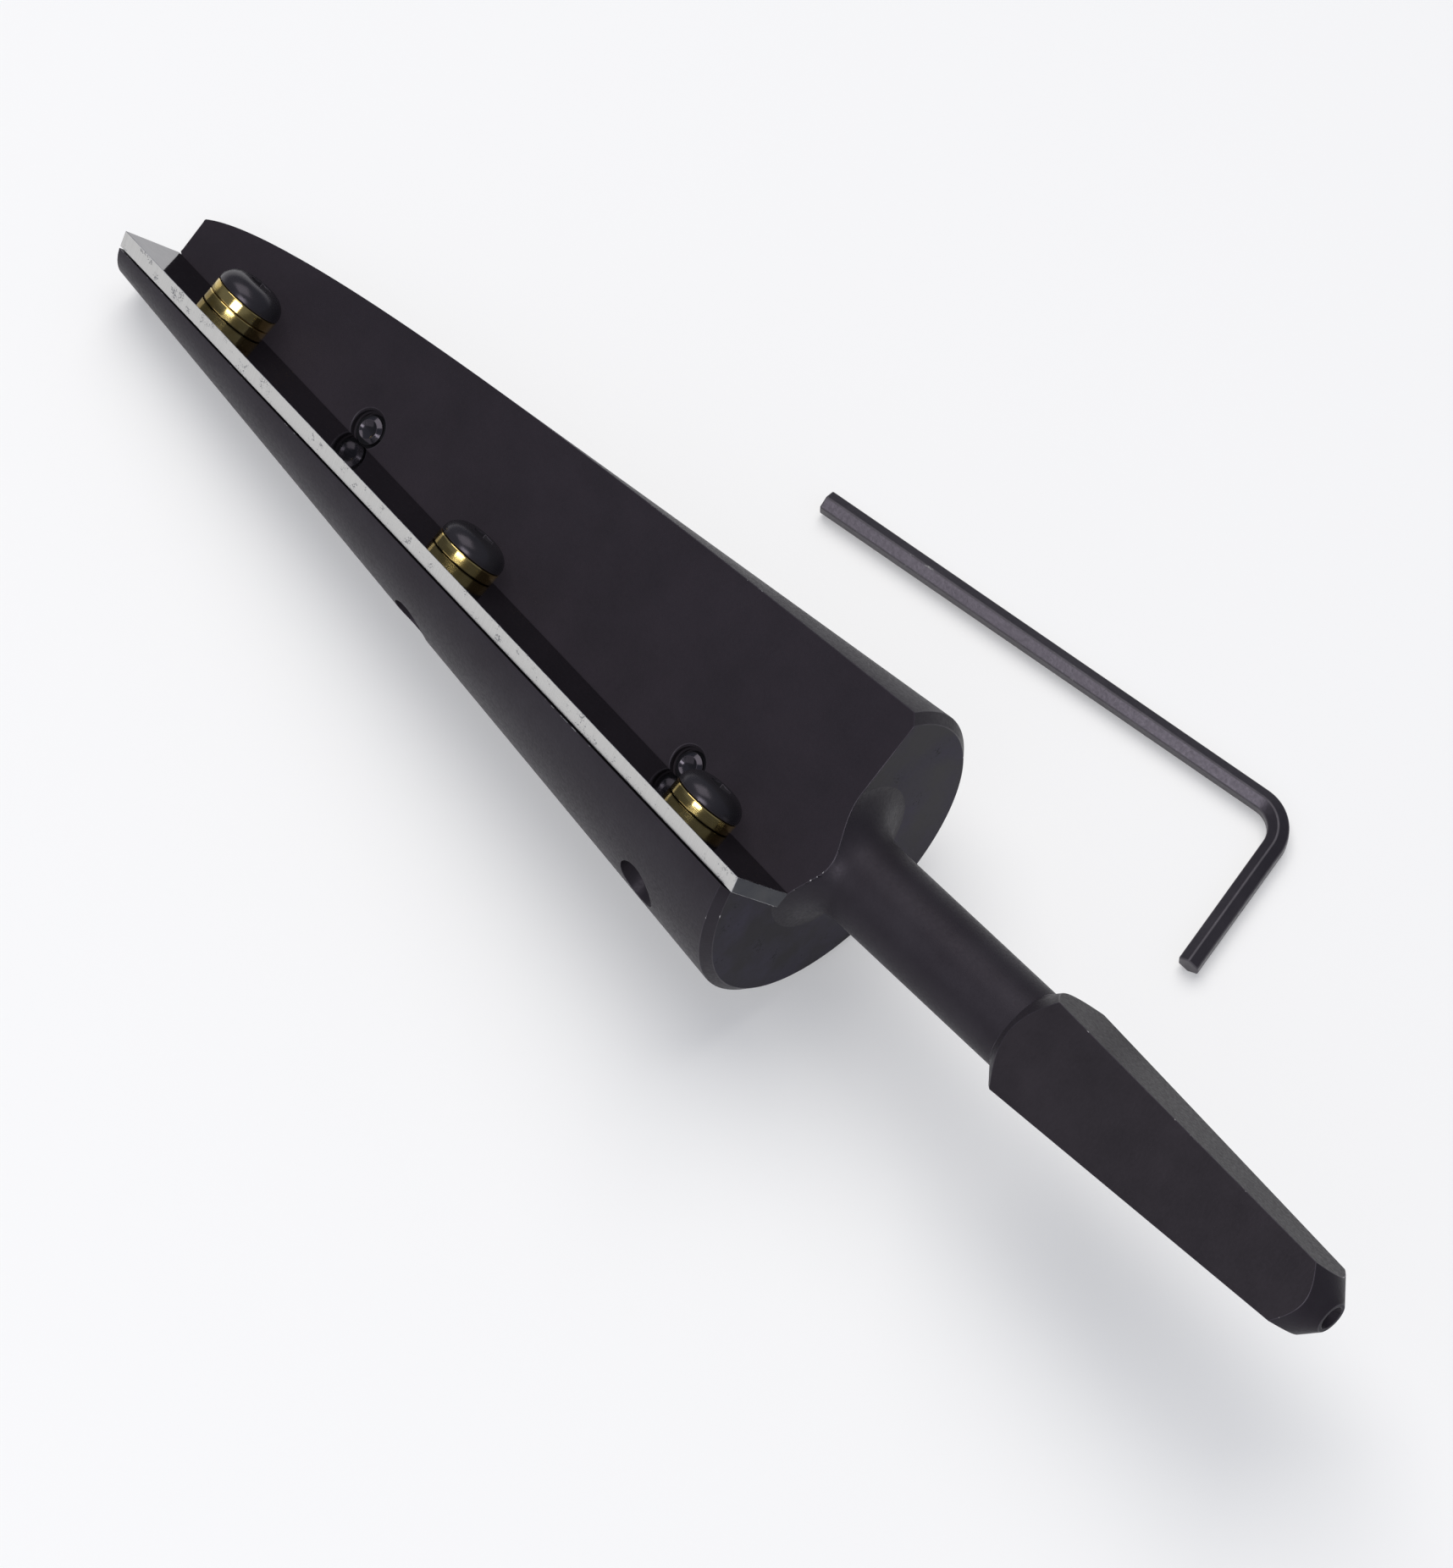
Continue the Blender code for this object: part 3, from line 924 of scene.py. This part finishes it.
def mottle_group():
    """Soft cloudy patches: a mask from 0 to 1."""
    group, given, result = new_group(
        "Mottle",
        [
            ("Vector", "Vector", None),
            ("Scale", "Float", 200.0),
            ("Detail", "Float", 3.0),
            ("Low", "Float", 0.35),
            ("High", "Float", 0.65),
        ],
        [("Mask", "Float")],
    )
    noise = add_node(
        group,
        "ShaderNodeTexNoise",
        Vector=given["Vector"],
        Scale=given["Scale"],
        Detail=given["Detail"],
        Roughness=0.6,
    )
    spread = add_node(
        group,
        "ShaderNodeMapRange",
        Value=noise.outputs[0],
        From_Min=given["Low"],
        From_Max=given["High"],
    )
    group.links.new(spread.outputs[0], result["Mask"])
    return group


def nicks_group():
    """Small sharp-edged marks, several in some places and none in others."""
    group, given, result = new_group(
        "Nicks",
        [
            ("Vector", "Vector", None),
            ("Scale", "Float", 1500.0),
            ("Spread", "Float", 150.0),
            ("Amount", "Float", 0.4),
        ],
        [("Mask", "Float")],
    )
    fine = add_node(
        group,
        "ShaderNodeTexNoise",
        Vector=given["Vector"],
        Scale=given["Scale"],
        Detail=3.0,
        Roughness=0.7,
    )
    broad = add_node(
        group, "ShaderNodeTexNoise", Vector=given["Vector"], Scale=given["Spread"], Detail=1.0
    )
    both = add_node(
        group,
        "ShaderNodeMath",
        {"operation": "MULTIPLY"},
        i0=fine.outputs[0],
        i1=broad.outputs[0],
    )
    level = add_node(
        group, "ShaderNodeMapRange", Value=given["Amount"], To_Min=0.42, To_Max=0.12
    )
    above = add_node(
        group,
        "ShaderNodeMath",
        {"operation": "SUBTRACT"},
        i0=both.outputs[0],
        i1=level.outputs[0],
    )
    sharp = add_node(
        group,
        "ShaderNodeMath",
        {"operation": "MULTIPLY", "use_clamp": True},
        i0=above.outputs[0],
        i1=25.0,
    )
    group.links.new(sharp.outputs[0], result["Mask"])
    return group


def tool_lines_group():
    """Fine parallel lines left by a tool, square to Direction, as a height from 0 to 1."""
    group, given, result = new_group(
        "Tool lines",
        [
            ("Vector", "Vector", None),
            ("Direction", "Vector", (1.0, 0.0, 0.0)),
            ("Spacing", "Float", 0.0002),
            ("Length", "Float", 0.01),
        ],
        [("Height", "Float")],
    )
    along = add_node(
        group,
        "ShaderNodeVectorMath",
        {"operation": "DOT_PRODUCT"},
        i0=given["Vector"],
        i1=given["Direction"],
    )
    fine = add_node(
        group,
        "ShaderNodeMath",
        {"operation": "DIVIDE"},
        i0=along.outputs["Value"],
        i1=given["Spacing"],
    )
    across = add_node(
        group, "ShaderNodeMath", {"operation": "DIVIDE"}, i0=1.0, i1=given["Length"]
    )
    stretched = add_node(
        group,
        "ShaderNodeVectorMath",
        {"operation": "SCALE"},
        i0=given["Vector"],
        Scale=across.outputs[0],
    )
    pushed = add_node(
        group,
        "ShaderNodeVectorMath",
        {"operation": "SCALE"},
        i0=given["Direction"],
        Scale=fine.outputs[0],
    )
    place = add_node(
        group,
        "ShaderNodeVectorMath",
        {"operation": "ADD"},
        i0=stretched.outputs[0],
        i1=pushed.outputs[0],
    )
    noise = add_node(
        group,
        "ShaderNodeTexNoise",
        Vector=place.outputs[0],
        Scale=1.0,
        Detail=2.0,
        Roughness=0.55,
    )
    group.links.new(noise.outputs[0], result["Height"])
    return group


class Finish:
    """A material that is built around one Principled shader, on Object coordinates."""

    def __init__(self, name, metallic=0.0, roughness=0.5, **sockets):
        self.material = bpy.data.materials.new(name)
        self.material.use_nodes = True
        self.tree = self.material.node_tree
        self.shader = self.tree.nodes["Principled BSDF"]
        self.shader.inputs["Metallic"].default_value = metallic
        self.shader.inputs["Roughness"].default_value = roughness
        for key, value in sockets.items():
            self.shader.inputs[key.replace("_", " ")].default_value = value
        self.place = self.tree.nodes.new("ShaderNodeTexCoord").outputs["Object"]

    def mask(self, group, output=0, **values):
        node = self.tree.nodes.new("ShaderNodeGroup")
        node.node_tree = group
        self.tree.links.new(self.place, node.inputs["Vector"])
        for key, value in values.items():
            node.inputs[key.replace("_", " ")].default_value = value
        return node.outputs[output]

    def blend(self, mask, first, second):
        """A colour between two colours or colour sockets."""
        node = self.tree.nodes.new("ShaderNodeMix")
        node.data_type = "RGBA"
        self.tree.links.new(mask, node.inputs["Factor"])
        for socket, colour in zip((node.inputs[6], node.inputs[7]), (first, second)):
            if isinstance(colour, bpy.types.NodeSocket):
                self.tree.links.new(colour, socket)
            else:
                socket.default_value = (*colour, 1.0)
        return node.outputs[2]

    def ramp(self, mask, low, high):
        node = add_node(self.tree, "ShaderNodeMapRange", Value=mask, To_Min=low, To_Max=high)
        return node.outputs[0]

    def drive(self, label, socket):
        self.tree.links.new(socket, self.shader.inputs[label])

    def bump(self, height, distance, strength=1.0, under=None):
        node = add_node(
            self.tree,
            "ShaderNodeBump",
            Height=height,
            Distance=distance,
            Strength=strength,
        )
        if under:
            self.tree.links.new(under, node.inputs["Normal"])
        self.drive("Normal", node.outputs[0])
        return node.outputs[0]


def oxide(
    name, dark, light, axis, groups, rough=(0.36, 0.5), lines=0.0002, gloss=0.12, relief=1.0,
):
    """Black oxide over steel that a tool has marked with lines square to axis."""
    mottle, _, tool_lines = groups
    made = Finish(name, Specular_IOR_Level=gloss, Specular_Tint=OXIDE_TINT)
    patches = made.mask(mottle, Scale=130.0, Detail=4.0)
    grain = made.mask(mottle, Scale=2600.0, Detail=2.0, Low=0.3, High=0.7)
    made.drive("Base Color", made.blend(patches, dark, light))
    made.drive("Roughness", made.ramp(grain, *rough))
    marks = made.mask(tool_lines, Direction=axis, Spacing=lines, Length=0.012)
    first = made.bump(marks, MARK_HEIGHT * relief)
    made.bump(grain, GRAIN_HEIGHT * relief, under=first)
    return made


def worn_edge(groups, name, amount, dark=(0.026, 0.023, 0.028), bright=(0.42, 0.41, 0.42)):
    """An oxide edge that handling has burnished, and rubbed through here and there."""
    mottle, nicks, _ = groups
    made = Finish(name, Specular_IOR_Level=0.2, Specular_Tint=OXIDE_TINT)
    rubbed = made.mask(mottle, Scale=500.0, Detail=3.0)
    marks = made.mask(nicks, Scale=1100.0, Spread=130.0, Amount=amount)
    burnished = tuple(1.35 * value for value in dark)
    made.drive("Base Color", made.blend(marks, made.blend(rubbed, dark, burnished), bright))
    made.drive("Metallic", made.ramp(marks, 0.0, 0.9))
    made.drive("Roughness", made.ramp(rubbed, 0.42, 0.3))
    return made


def make_finishes(tool, seat):
    """Every finish by name. Directions come from the tool's frames."""
    groups = (mottle_group(), nicks_group(), tool_lines_group())
    mottle, nicks, tool_lines = groups
    axis = tuple(tool.col[0].xyz)
    edge = tuple(seat.col[0].xyz)
    out = tuple(seat.col[2].xyz)
    made = {}
    made["turned"] = oxide(
        "black oxide, turned", (0.021, 0.018, 0.022), (0.027, 0.024, 0.029), axis, groups
    )
    made["worn"] = worn_edge(groups, "oxide worn at the edge", 0.2)
    made["milled"] = oxide(
        "black oxide, milled", (0.020, 0.017, 0.021), (0.024, 0.020, 0.025), edge, groups, rough=(
            0.4, 0.52,
        )
    )
    made["tang"] = oxide(
        "black oxide, tang flats", (0.015, 0.013, 0.015), (0.021, 0.018, 0.021), axis,
        groups, rough=(
            0.4, 0.55,
        )
    )

    end = Finish("black oxide, end face", Specular_IOR_Level=0.08, Specular_Tint=OXIDE_TINT)
    cloud = end.mask(mottle, Scale=110.0, Detail=8.0, Low=0.42, High=0.62)
    specks = end.mask(nicks, Scale=2200.0, Spread=300.0, Amount=0.15)
    base = end.blend(cloud, (0.013, 0.011, 0.015), (0.046, 0.041, 0.060))
    end.drive("Base Color", end.blend(specks, base, (0.008, 0.008, 0.010)))
    end.drive("Roughness", end.ramp(cloud, 0.38, 0.55))
    made["end"] = end

    face = Finish(
        "blade steel, polished face", metallic=1.0, Specular_Tint=(0.75, 0.75, 0.75, 1.0),
    )
    swirl = face.mask(mottle, Scale=900.0, Detail=2.0)
    face.drive("Base Color", face.blend(swirl, (0.20, 0.195, 0.21), (0.25, 0.245, 0.26)))
    face.drive("Roughness", face.ramp(swirl, 0.06, 0.12))
    made["blade face"] = face

    bevel = Finish("blade steel, ground bevel", metallic=1.0)
    scratch = bevel.mask(tool_lines, Direction=edge, Spacing=0.00011, Length=0.02)
    pits = bevel.mask(nicks, Scale=5200.0, Spread=700.0, Amount=0.22)
    steel = bevel.blend(scratch, (0.52, 0.515, 0.50), (0.72, 0.71, 0.69))
    bevel.drive("Base Color", bevel.blend(pits, steel, (0.25, 0.25, 0.26)))
    bevel.drive("Roughness", bevel.ramp(scratch, 0.30, 0.50))
    bevel.bump(scratch, 0.000010)
    made["blade bevel"] = bevel

    sides = Finish("blade steel, hardened sides", metallic=0.6)
    smoke = sides.mask(mottle, Scale=260.0, Detail=4.0)
    sides.drive("Base Color", sides.blend(smoke, (0.020, 0.022, 0.030), (0.040, 0.043, 0.056)))
    sides.drive("Roughness", sides.ramp(smoke, 0.34, 0.5))
    made["blade sides"] = sides

    rim = Finish("blade steel, broken edge", metallic=1.0)
    bright = rim.mask(mottle, Scale=700.0, Detail=3.0)
    rim.drive("Base Color", rim.blend(bright, (0.25, 0.25, 0.27), (0.60, 0.60, 0.62)))
    rim.drive("Roughness", rim.ramp(bright, 0.2, 0.4))
    made["blade edge"] = rim

    brass = Finish("polished brass", metallic=1.0)
    tarnish = brass.mask(mottle, Scale=420.0, Detail=4.0, Low=0.4, High=0.75)
    rings = brass.mask(tool_lines, Direction=out, Spacing=0.00006, Length=0.02)
    brass.drive("Base Color", brass.blend(tarnish, (0.74, 0.57, 0.22), (0.50, 0.36, 0.11)))
    brass.drive("Roughness", brass.ramp(tarnish, 0.10, 0.2))
    brass.bump(rings, 0.000003)
    made["brass"] = brass

    made["fastener"] = oxide(
        "black oxide, button head", (0.015, 0.014, 0.016), (0.022, 0.021, 0.024), out,
        groups, rough=(0.24, 0.3), gloss=0.3, relief=0.2
    )
    made["set screw"] = oxide(
        "black oxide, set screw", (0.010, 0.010, 0.012), (0.016, 0.016, 0.018), out,
        groups, rough=(0.1, 0.18), gloss=0.5, relief=0.2
    )
    made["fastener edge"] = worn_edge(groups, "fastener worn at the edge", 0.0)
    made["key"] = oxide(
        "black oxide, drawn bar", (0.020, 0.018, 0.021), (0.030, 0.027, 0.031), (0, 0, 1),
        groups, rough=(0.28, 0.38), gloss=0.4
    )
    made["key edge"] = worn_edge(
        groups, "key worn at the edge", 0.02, (0.06, 0.056, 0.062), (0.2, 0.2, 0.2),
    )
    return {name: finish.material for name, finish in made.items()}


# ---------------------------------------------------------------- stage


def make_floor():
    bm = bmesh.new()
    bmesh.ops.create_grid(bm, x_segments=1, y_segments=1, size=4.0)
    floor = helper("floor", bm)
    floor.location.z = -FLOOR_DROP
    paint = Finish("pale floor", roughness=0.6, Specular_IOR_Level=0.2)
    paint.shader.inputs["Base Color"].default_value = FLOOR_COLOUR
    floor.data.materials.append(paint.material)


def soft_light(name, place, size, power, colour):
    """A square panel that faces the middle of the floor."""
    data = bpy.data.lights.new(name, "AREA")
    data.shape = "RECTANGLE"
    data.size, data.size_y = size
    data.energy = power
    data.color = colour
    light = bpy.data.objects.new(name, data)
    light.location = place
    light.rotation_euler = (-Vector(place)).to_track_quat("-Z", "Y").to_euler()
    bpy.context.scene.collection.objects.link(light)
    return light


def make_stage(tool):
    make_floor()
    soft_light("back panel", *BACK_PANEL)
    # The front panel is a fill, and casts no shadow of its own.
    front = soft_light("front panel", *FRONT_PANEL)
    front.data.use_shadow = False
    world = bpy.data.worlds.new("studio")
    world.use_nodes = True
    background = world.node_tree.nodes["Background"]
    background.inputs["Color"].default_value = WORLD_COLOUR
    background.inputs["Strength"].default_value = WORLD_STRENGTH
    scene = bpy.context.scene
    scene.world = world
    scene.view_settings.view_transform = "Standard"
    lens = bpy.data.cameras.new("camera")
    lens.sensor_fit = "HORIZONTAL"
    lens.sensor_width = 36.0
    lens.lens = CAMERA_LENS
    lens.clip_start = 0.05
    lens.clip_end = 20.0
    camera = bpy.data.objects.new("camera", lens)
    camera.location = tool.translation + Vector(CAMERA_FROM_TOOL)
    camera.rotation_euler = CAMERA_TURN
    scene.collection.objects.link(camera)
    scene.camera = camera


def main():
    for item in list(bpy.data.objects):
        bpy.data.objects.remove(item, do_unlink=True)
    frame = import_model()
    seat = seat_in_world(frame["joints"])
    tool = seat @ seat_in_tool().inverted()
    make_stage(tool)
    finish = make_finishes(tool, seat)
    thread = thread_tree()
    washers = washer_tree()
    oxide_finishes = [finish[name] for name in ("turned", "worn", "milled", "end", "tang")]
    make_reamer_body(tool, oxide_finishes)
    make_hole_threads(seat, thread, finish["turned"])
    blade_finishes = [finish[f"blade {part}"] for part in ("face", "bevel", "sides", "edge")]
    make_blade(seat, blade_finishes)
    fastener = [finish["fastener"], finish["fastener edge"]]
    for number in (1, 2, 3):
        make_clamp_screw(number, seat, thread, fastener)
    for name, number, level in (
        ("turned_brass_washer_1_lower", 1, 0),
        ("turned_brass_washer_1_upper", 1, 1),
        ("turned_brass_washer_2", 2, 0),
        ("turned_brass_washer_3", 3, 0),
    ):
        make_washer(name, number, level, seat, washers, finish["brass"])
    for number in (1, 2):
        make_set_screw(number, seat, thread, [finish["set screw"], finish["fastener edge"]])
    make_hex_key(key_in_world(tool), hexagon_bar_tree(), [finish["key"], finish["key edge"]])


main()
